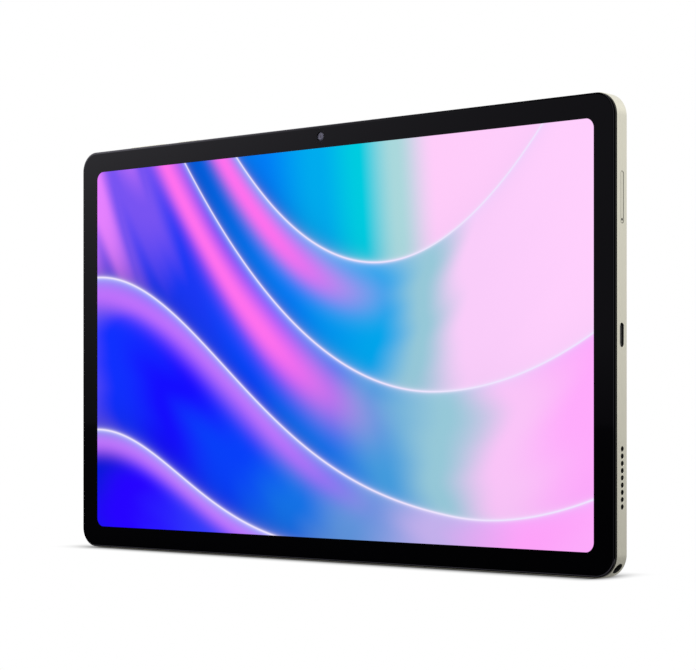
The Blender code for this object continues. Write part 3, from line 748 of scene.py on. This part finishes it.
def jack_direction():
    return Vector((math.cos(JACK_TILT), 0.0, -math.sin(JACK_TILT)))


def key_slot(node):
    """A cutter for a key's slot in the top edge, with a seam round the key."""
    size = (KEY_LENGTH[node] + 2 * SEAM, KEY_DEPTH + 2 * SEAM)
    return loft(node + "_slot", [SHADED, POLISHED], (middle(node, 0), SIDE_Y, HEIGHT), Z, X, size,
                size[1] / 2, mouth(WALL_CUT, 0.1))


def speaker_hole(side, index):
    """A cutter for one hole of a speaker grille, in the right wall (1) or the left (-1)."""
    centre = (side * HALF_WIDTH, SPEAKER_Y, SPEAKER_LOW_Z + SPEAKER_PITCH * index)
    return turned("hole", [SHADED, POLISHED], centre, side * X, SPEAKER_RADIUS,
                  mouth(WALL_CUT, 0.06), 6)


def microphone_hole(name, centre, outward):
    """A cutter for a microphone's small straight hole through the wall."""
    return turned(name, [SHADED], centre, outward, MICROPHONE_RADIUS,
                  [(-WALL_CUT, 0.0), (PAST, 0.0)], 5)


def rear_hole(name, node):
    """A cutter through the back for a round piece, with a seam round it."""
    return turned(name, [RECESS_SHADE_METAL, POLISHED], (middle(node, 0), BACK, middle(node, 2)), Y,
                  length(node, 0) / 2 + SEAM, mouth(SKIN_CUT, 0.08), 18)


def build_body():
    """The metal body with its cut front edge, rounded rear edge and every opening."""
    chamfer, fillet = 0.3, 0.5
    profile = [(RIM, -chamfer, 1), (RIM + chamfer, 0.0, 1), (BACK - fillet, 0.0, 0)]
    profile += [(*point, 0) for point in arc((BACK - fillet, 0.0), (BACK, -fillet), True, 6)]
    body = loft("body_shell", [ANODISED, POLISHED, RECESS_SHADE_METAL, SHADED], (0.0, 0.0, HEIGHT / 2), Y, X,
                (2 * HALF_WIDTH, HEIGHT), BODY_CORNER, profile, steps=20)
    inner = (2 * (HALF_WIDTH - WALL), HEIGHT - 2 * WALL)
    cavity = loft("cavity", [RECESS_SHADE_METAL], (0.0, 0.0, HEIGHT / 2), Y, X, inner, CORNER - WALL,
                  [(RIM - 1.0, 0.0), (BACK - SKIN, 0.0)])
    port_z = middle("usb_c_shell", 2)
    port = right_slot("port", port_z, PORT_OPENING, PORT_OPENING[1] / 2, mouth(WALL_CUT, 0.08),
                      [SHADED, POLISHED])
    pocket_depth = HALF_WIDTH - span("usb_c_shell", 0)[1] - SEAM
    pocket = right_slot("port_pocket", port_z, PORT_POCKET, 1.64,
                        [(-WALL_CUT, 0.0), (-pocket_depth, 0.0)], [RECESS_SHADE_METAL])
    drawer = right_slot("drawer_slot", middle("card_tray", 2), DRAWER_SLOT, DRAWER_SLOT[1] / 2,
                        [(-WALL_CUT, 0.0), (PAST, 0.0)], [SHADED], DRAWER_SLOT_SHIFT)
    cut(body, cavity, port, pocket, drawer)
    cut(body, *(speaker_hole(side, index) for side in (1, -1) for index in range(SPEAKER_HOLES)))
    jack = turned("jack_hole", [SHADED, POLISHED], jack_place(CORNER), jack_direction(),
                  JACK_MOUTH, mouth(4.2, 0.1), 10)
    camera = rear_hole("camera_hole", "rear_camera_ring")
    flash = rear_hole("flash_hole", "flash_window")
    antenna = loft("antenna_slot", [RECESS_SHADE_METAL, POLISHED],
                   (0.0, BACK, middle("antenna_window", 2)), Y, X,
                   (length("antenna_window", 0) + 2 * SEAM, length("antenna_window", 2) + 2 * SEAM),
                   ANTENNA_CORNER + SEAM, mouth(SKIN_CUT, 0.05))
    left_hole = microphone_hole("left_microphone_hole",
                                (-HALF_WIDTH, SIDE_Y, middle("microphone_left", 2)), -X)
    top_hole = microphone_hole("top_microphone_hole",
                               (middle("microphone_top", 0), SIDE_Y, HEIGHT), Z)
    cut(body, jack, camera, flash, antenna, left_hole, top_hole,
        key_slot("power_key"), key_slot("volume_rocker"))
    stand_in(body, BODY, "anodised_aluminium", "housing")


def build_front_glass():
    """The glass curves down to its edge all round, then drops to a short upright wall."""
    curve_width, curve_depth, rear_cut = 1.0, 0.3, 0.06
    profile = [(FRONT, -curve_width)]
    profile += arc((FRONT, -curve_width), (FRONT + curve_depth, 0.0), False, 8)
    profile += [(GLASS_BACK - rear_cut, 0.0), (GLASS_BACK, -rear_cut)]
    glass = loft("front_glass", [paint_front_glass()], (0.0, 0.0, HEIGHT / 2), Y, X,
                 (length("cover_glass", 0), length("cover_glass", 2)), GLASS_CORNER, profile, 20)
    stand_in(glass, BODY, "cover_glass", "cover_glass")


def paint_lip():
    """Brown-black plastic whose reflection is painted stronger towards the metal."""
    paint = Paint("frame_lip", srgb(12, 11, 9), 0.45)
    _, y, _ = paint.coordinates()
    speck = paint.noise(0.12, 3.0, spread=0.65)
    # Painted reflection: the specular strength rises towards the rear edge to paint a lighter
    # reflection next to the metal.
    paint.set("Specular IOR Level", 0.11 + y.smooth(GLASS_BACK, RIM) * 0.04)
    paint.set("Specular Tint", (1.0, 0.93, 0.76, 1.0))
    paint.set("Roughness", 0.40 + speck * 0.12)
    paint.bump(speck, 0.004)
    return paint.material


def build_lip():
    """The black frame under the glass, seen as a lip between the glass and the metal."""
    edge, glass_gap = 0.04, 0.003
    opening_size = (264.0, 158.8)
    rear = RIM - 0.02
    lip = loft("bezel_lip", [paint_lip()], (0.0, 0.0, HEIGHT / 2), Y, X,
               (2 * (HALF_WIDTH - LIP), HEIGHT - 2 * LIP), GLASS_CORNER,
               [(GLASS_BACK + glass_gap, -edge), (GLASS_BACK + edge, 0.0),
                (rear - edge, 0.0), (rear, -edge)], 20)
    opening = loft("lip_opening", [RESIN], (0.0, 0.0, SCREEN_Z), Y, X, opening_size, 1.5,
                   [(FRONT, 0.0), (RIM + 2.0, 0.0)], 6)
    camera = turned("lip_camera", [RESIN], (0.0, RIM, middle("front_camera", 2)), Y, 1.8,
                    [(-2.0, 0.0), (1.5, 0.0)], 8)
    cut(lip, opening, camera)
    stand_in(lip, BODY, "black_plastic", "display_bezel_frame")


# ------------------------------------------------------------------ keys, drawer, sockets

def build_key(node, body, nibs):
    """A key cap with softened edges, its retaining flange and the nibs under it."""
    low, top = span(node, 2)
    flange_low, flange_height = low + 0.5, 0.7
    flange_top = flange_low + flange_height
    size = (KEY_LENGTH[node], KEY_DEPTH)
    overlap, round_edge = 0.1, 0.28
    profile = [(flange_top - HEIGHT - overlap, 0.0, 0), (top - HEIGHT - round_edge, 0.0, 0)]
    profile += [(*point, 1) for point in
                arc((top - HEIGHT - round_edge, 0.0), (top - HEIGHT, -round_edge), True, 5)]
    # The key's sides take the darker metal as painted shade; its rounded top keeps the body's
    # metal.
    cap = loft(node + "_cap", [DARKER_METAL, ANODISED], (middle(node, 0), SIDE_Y, HEIGHT), Z, X, size,
               size[1] / 2, profile, 10)
    flange = loft(node + "_flange", [DARKER_METAL], (middle(node, 0), SIDE_Y, flange_low), Z, X,
                  (size[0] + FLANGE, KEY_DEPTH), 0.3, eased(0.0, flange_height, 0.05), 3)
    nib_size, nib_profile = (2.0, 1.6), [(0.0, -0.1), (0.1, 0.0), (0.6, 0.0)]
    feet = [loft(node + "_nib", [DARKER_METAL], (middle(node, 0) + offset, SIDE_Y, low), Z, X,
                 nib_size, 0.3, nib_profile, 3) for offset in nibs]
    join(cap, flange, *feet)
    stand_in(cap, body, "anodised_aluminium", node)


def build_drawer():
    """The card drawer: a flush cap with its pinhole, and a thin frame round the card."""
    low, high = span("card_tray", 0)
    cap_rear = high - 2.6
    depth, cut_edge = HALF_WIDTH - cap_rear, 0.03
    # The drawer cap's sides get the darkened metal as painted shade.
    drawer = loft("card_drawer_frame", [RECESS_SHADE_METAL, POLISHED, DARKER_METAL],
                  (HALF_WIDTH, SIDE_Y, middle("card_tray", 2)), X, Z, DRAWER_SIZE,
                  DRAWER_SIZE[1] / 2,
                  [(-depth, 0.0, 0), (-cut_edge, 0.0, 0), (0.0, -cut_edge, 1)], 10)
    for face in drawer.data.polygons:
        if face.normal.x > 0.9:
            face.material_index = 2
    carrier_z, carrier_width, carrier_half = 138.6, 13.4, 0.45
    carrier = loft("drawer_carrier", [DARKER_METAL], ((low + cap_rear) / 2, SIDE_Y, carrier_z), Y, X,
                   (cap_rear - low + 1.0, carrier_width), 0.9,
                   eased(-carrier_half, carrier_half, 0.08), 5)
    join(drawer, carrier)
    card, gap = "memory_card", 0.3
    window = loft("drawer_window", [DARKER_METAL], (middle(card, 0), SIDE_Y, middle(card, 2)), Y, X,
                  (length(card, 0) + gap, length(card, 2) + gap), 0.8,
                  [(-1.0, 0.0), (1.0, 0.0)], 4)
    pinhole = turned("pinhole", [SHADED], (HALF_WIDTH, SIDE_Y, PINHOLE_Z), X, PINHOLE_RADIUS,
                     [(-depth - 1.0, 0.0), (0.2, 0.0)], 6)
    cut(drawer, window, pinhole)
    stand_in(drawer, "card_drawer", "anodised_aluminium", "card_tray")


def build_port():
    """The socket's drawn shell with a rounded lip, and its contact tongue."""
    low, z = span("usb_c_shell", 0)[0], middle("usb_c_shell", 2)
    depth = length("usb_c_shell", 0)
    shell = loft("port_shell", [STEEL], (low, SIDE_Y, z), X, Z, PORT_SHELL, PORT_SHELL[1] / 2,
                 [(0.0, -0.3), (0.3, 0.0), (depth - 0.1, 0.0), (depth, -0.08)], 10)
    inner = tuple(size - 2 * PORT_SHELL_WALL for size in PORT_SHELL)
    hollow = loft("port_hollow", [STEEL], (low, SIDE_Y, z), X, Z, inner, inner[1] / 2,
                  [(0.3, 0.0), (depth - 0.1, 0.0), (depth + 0.2, 0.3)], 10)
    cut(shell, hollow)
    stand_in(shell, BODY, "stamped_steel", "usb_c_shell")
    low, depth = span("usb_c_tongue", 0)[0], length("usb_c_tongue", 0)
    tongue = loft("port_tongue", [paint_tongue()], (low, SIDE_Y, z), X, Z, PORT_TONGUE, 0.2,
                  [(0.0, 0.0), (depth - 0.25, 0.0), (depth, -0.18)], 4)
    stand_in(tongue, BODY, "black_plastic", "usb_c_tongue")


def build_jack():
    """The headphone socket: a round neck in the corner's bore, and its body behind it."""
    along, centre = jack_direction(), jack_place(0.0)
    body_size, body_shift = (4.3, 6.0), 0.05
    body = loft("jack_socket", [RESIN], (centre[0], centre[1] + body_shift, centre[2]), along, Y,
                body_size, 0.5, eased(-7.0, 5.4, 0.2), 4)
    neck = turned("jack_neck", [RESIN], centre, along, JACK_NECK,
                  [(4.0, 0.0), (8.2, 0.0), (8.3, -0.08)], 14)
    join(body, neck)
    bore = turned("jack_bore", [RESIN], centre, along, JACK_BORE,
                  [(-6.0, 0.0), (-0.5, 0.0), (-0.4, 0.06), (0.4, 0.06), (0.5, 0.0), (9.2, 0.0)], 14)
    cut(body, bore)
    stand_in(body, BODY, "black_plastic", "headphone_jack")


# ------------------------------------------------------------------ cameras and back

def build_front_camera():
    """A small domed lens behind the border's round opening, with a grey ring about it."""
    node = "front_camera_lens"
    front, back = span(node, 1)
    centre = (0.0, front, middle(node, 2))
    tones = [(0.0, srgb(62, 64, 64)), (0.3, srgb(56, 58, 58)), (0.5, srgb(84, 88, 84)),
             (0.9, srgb(100, 104, 100)), (1.3, srgb(84, 88, 84)), (1.75, srgb(70, 74, 70))]
    glass = paint_lens("front_lens_glass", centre, tones)
    radius = 1.72
    lens = turned("front_lens", [glass], centre, Y, radius,
                  [(0.1, -0.75), (0.0, -0.6), (0.06, -0.45), (0.12, -0.1), (0.2, 0.0),
                   (back - front, 0.0)], 12)
    stand_in(lens, BODY, "camera_glass", node)


def build_rear_camera():
    """The rear camera's trim, cover and focusing barrel."""
    centre = (middle("rear_camera_ring", 0), BACK, middle("rear_camera_ring", 2))
    outer = length("rear_camera_ring", 0) / 2
    opening_radius, cover_radius, clear_radius, barrel_radius = 3.2, 3.1, 1.9, 2.5
    ring = turned("camera_trim", [POLISHED], centre, Y, outer,
                  [(-0.65, 0.0), (-0.12, 0.0), (0.0, -0.12), (0.0, -0.7)], 20)
    opening = turned("trim_opening", [POLISHED], centre, Y, opening_radius,
                     [(-1.0, 0.0), (-0.22, 0.0), (0.1, 0.32)], 20)
    cut(ring, opening)
    stand_in(ring, BODY, "stamped_steel", "rear_camera_ring")
    cover = turned("camera_cover", [paint_clear_cover(centre, clear_radius)], centre, Y,
                   cover_radius, [(-0.6, 0.0), (-0.28, 0.0), (-0.2, -0.08)], 20)
    stand_in(cover, BODY, "camera_glass", "rear_camera_window")
    low, high = span("rear_camera_lens", 1)
    tones = [(0.0, srgb(30, 18, 60)), (0.45, srgb(10, 14, 40)), (0.9, srgb(44, 24, 70)),
             (1.0, srgb(5, 5, 6)), (1.5, srgb(20, 20, 22)), (1.6, srgb(60, 60, 62)),
             (1.7, srgb(12, 12, 12)), (2.5, srgb(10, 10, 10))]
    barrel = turned("focus_barrel", [paint_lens("rear_lens_glass", centre, tones)],
                    (centre[0], 0.0, centre[2]), Y, barrel_radius,
                    [(low, -0.1), (low + 0.1, 0.0), (high - 0.3, 0.0), (high, -0.15),
                     (high, -0.9), (high - 0.25, -1.05), (high - 0.3, -1.3), (high - 0.12, -1.8),
                     (high - 0.02, -2.3)], 20)
    stand_in(barrel, "camera_lens", "camera_glass", "rear_camera_lens")


def build_flash():
    """A warm lamp window with moulded rings."""
    node = "flash_window"
    centre = (middle(node, 0), BACK, middle(node, 2))
    radius = length(node, 0) / 2
    rim, rings, pitch, groove = -0.35, 5, 0.22, 0.09
    profile = [(-0.6, 0.0), (-0.06, 0.0), (0.0, -0.06), (0.0, rim)]
    for ring in range(rings):
        growth = rim - pitch * ring
        profile += [(-groove, growth - 0.04), (-0.01, growth - 0.2)]
    window = turned("flash_lens", [paint_diffuser("flash_resin", srgb(250, 240, 196), 0.3, 0.01)],
                    centre, Y, radius, profile, 14)
    stand_in(window, BODY, "flash_lens", node)


def build_antenna_cover():
    """A flush plastic inlay in the metal back, painted close to the metal's colour."""
    node = "antenna_window"
    inlay = loft("antenna_cover",
                 [paint_plastic("antenna_paint", srgb(184, 180, 164), 0.46, 0.14, 0.006)],
                 (0.0, BACK, middle(node, 2)), Y, X, (length(node, 0), length(node, 2)),
                 ANTENNA_CORNER, [(-0.8, 0.0), (-0.07, 0.0), (-0.01, -0.06)], 10)
    stand_in(inlay, BODY, "antenna_plastic", node)


# ------------------------------------------------------------------ inner pieces

def paint_inner_nodes():
    """Give every carried-over node its own procedural finish."""
    steel_plate = paint_brushed("plate_steel", srgb(170, 170, 172), 0.35)
    can_steel = paint_brushed("can_steel", srgb(205, 204, 200), 0.25, (1.0, 1.0, 12.0))
    board, flex = paint_board(), paint_flex()
    chip = paint_plastic("chip_resin", srgb(26, 26, 28), 0.5, 0.1, 0.003)
    speaker_case = paint_plastic("speaker_case", srgb(22, 22, 23), 0.55)
    mesh = paint_mesh_cloth()
    foil = paint_foil()
    white_film = paint_diffuser("white_film", srgb(242, 242, 240), 0.4, 0.004)
    cone = paint_plastic("cone_rubber", srgb(30, 30, 31), 0.65, 0.3, 0.01)
    graphite = paint_brushed("graphite_film", srgb(62, 62, 66), 0.5)
    groups = [
        (paint_screen(), ["lcd_panel"]),
        (white_film, ["backlight_unit"]),
        (steel_plate, ["mid_plate", "card_reader_shell", "eject_rod", "eject_lever",
                       "eject_pivot", "screw_upper_left", "screw_upper_right",
                       "screw_lower_left", "screw_lower_right"]),
        (can_steel, ["processor_shield", "wifi_module", "power_switch", "volume_up_switch",
                     "volume_down_switch", "microphone_top", "microphone_left"]),
        (board, ["main_board", "battery_protection_board"]),
        (flex, ["battery_cable", "display_flex", "audio_flex", "side_key_flex", "wifi_antenna"]),
        (chip, ["processor", "memory_chip", "storage_chip", "power_chip", "light_sensor"]),
        (speaker_case, ["speaker_right", "speaker_left", "front_camera", "rear_camera",
                        "power_switch_plunger"]),
        (mesh, ["speaker_mesh_right", "speaker_mesh_left"]),
        (foil, ["battery_cell_left", "battery_cell_right"]),
        (cone, ["speaker_diaphragm_right", "speaker_diaphragm_left"]),
        (graphite, ["graphite_sheet"]),
        (paint_card(), ["memory_card"]),
        (paint_diffuser("lamp_resin", srgb(250, 232, 160), 0.3, 0.01), ["flash_led"]),
    ]
    for material, names in groups:
        for name in names:
            mesh_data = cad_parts[name].data
            for index in range(len(mesh_data.materials)):
                mesh_data.materials[index] = material


# ------------------------------------------------------------------ stage

def camera_ray(tree):
    """A socket that is 1 for what the camera sees and 0 for light and reflections."""
    return tree.nodes.new("ShaderNodeLightPath").outputs["Is Camera Ray"]


def falloff(distance, reach):
    """1 up to an edge and 0 beyond a reach, for a distance past that edge."""
    return (1.0 - distance.max(0.0) / reach).max(0.0).power(1.8)


def build_floor():
    """A white floor on which the camera sees only a soft shadow round the lower edge."""
    bpy.ops.mesh.primitive_plane_add(size=12.0, location=(0.0, 0.0, 0.0))
    floor = bpy.context.object
    floor.name = "studio_floor"
    white, black = (1.0, 1.0, 1.0), (0.0, 0.0, 0.0)
    paint = Paint("studio_floor", (0.2, 0.2, 0.2), 0.9)
    paint.set("Emission Color", (*white, 1.0))
    paint.set("Emission Strength", 0.2)
    tree = paint.tree
    x, y, _ = paint.coordinates()
    edge = HALF_WIDTH - CORNER
    front, rear, right, left = 15.0, 28.0, 10.0, 24.0
    shadow = (falloff(FRONT - y, front) * falloff(y - BACK, rear)
              * falloff(x - edge, right) * falloff((x * -1.0) - edge + 2.0, left))
    glow = paint.node("ShaderNodeEmission")
    paint.feed(glow.inputs["Color"], paint.blend(shadow * 0.97, white, black))
    mix = paint.node("ShaderNodeMixShader")
    paint.feed(mix.inputs[0], camera_ray(tree))
    paint.feed(mix.inputs[1], paint.shader.outputs[0])
    paint.feed(mix.inputs[2], glow.outputs[0])
    paint.feed(tree.nodes["Material Output"].inputs["Surface"], mix.outputs[0])
    floor.data.materials.append(paint.material)


def build_world():
    """White to the camera; to reflections, a soft studio that is brighter above the horizon."""
    world = bpy.data.worlds.new("studio")
    bpy.context.scene.world = world
    world.use_nodes = True
    tree = world.node_tree
    background = tree.nodes["Background"]
    direction = tree.nodes.new("ShaderNodeTexCoord").outputs["Generated"]
    parts = tree.nodes.new("ShaderNodeSeparateXYZ")
    tree.links.new(direction, parts.inputs[0])
    rise = tree.nodes.new("ShaderNodeMapRange")
    tree.links.new(parts.outputs["Z"], rise.inputs["Value"])
    for name, value in (("From Min", 0.0), ("From Max", 0.6), ("To Min", 0.98), ("To Max", 1.12)):
        rise.inputs[name].default_value = value
    view = tree.nodes.new("ShaderNodeMix")
    tree.links.new(camera_ray(tree), view.inputs[0])
    tree.links.new(rise.outputs[0], view.inputs[2])
    view.inputs[3].default_value = 1.0
    tree.links.new(view.outputs[0], background.inputs["Strength"])
    background.inputs["Color"].default_value = (1.0, 1.0, 1.0, 1.0)


def add_area_light(name, place, target, size, power):
    lamp = bpy.data.lights.new(name, "AREA")
    lamp.energy = power
    lamp.size = size
    obj = bpy.data.objects.new(name, lamp)
    obj.location = place
    obj.rotation_euler = (Vector(target) - Vector(place)).to_track_quat("-Z", "Y").to_euler()
    bpy.context.scene.collection.objects.link(obj)


def build_lights():
    """Two weak, broad lamps behind the tablet, one to each side."""
    centre = (0.0, 0.0, HEIGHT / 2 * MM)
    add_area_light("key_light", (1.2, 0.6, 1.1), centre, 0.9, 4.0)
    add_area_light("fill_light", (-1.3, 0.9, 0.9), centre, 1.0, 3.0)


def build_camera():
    """Front right, a little below mid-height, level, with the picture's centre shifted up."""
    turn = math.radians(40.04)
    camera = bpy.data.cameras.new("camera")
    camera.sensor_width = 36.0
    camera.lens = 103.97
    camera.shift_y = 0.1082
    camera.clip_start = 0.01
    obj = bpy.data.objects.new("camera", camera)
    obj.location = (0.5275, -0.6138, 0.0605)
    obj.rotation_euler = (math.pi / 2, 0.0, turn)
    bpy.context.scene.collection.objects.link(obj)
    bpy.context.scene.camera = obj
    bpy.context.scene.view_settings.view_transform = "Standard"


build_body()
build_front_glass()
build_lip()
build_key("power_key", "power_key", (0.0,))
build_key("volume_rocker", "volume_rocker", (-7.0, 7.0))
build_drawer()
build_port()
build_jack()
build_front_camera()
build_rear_camera()
build_flash()
build_antenna_cover()
paint_inner_nodes()
build_floor()
build_world()
build_lights()
build_camera()
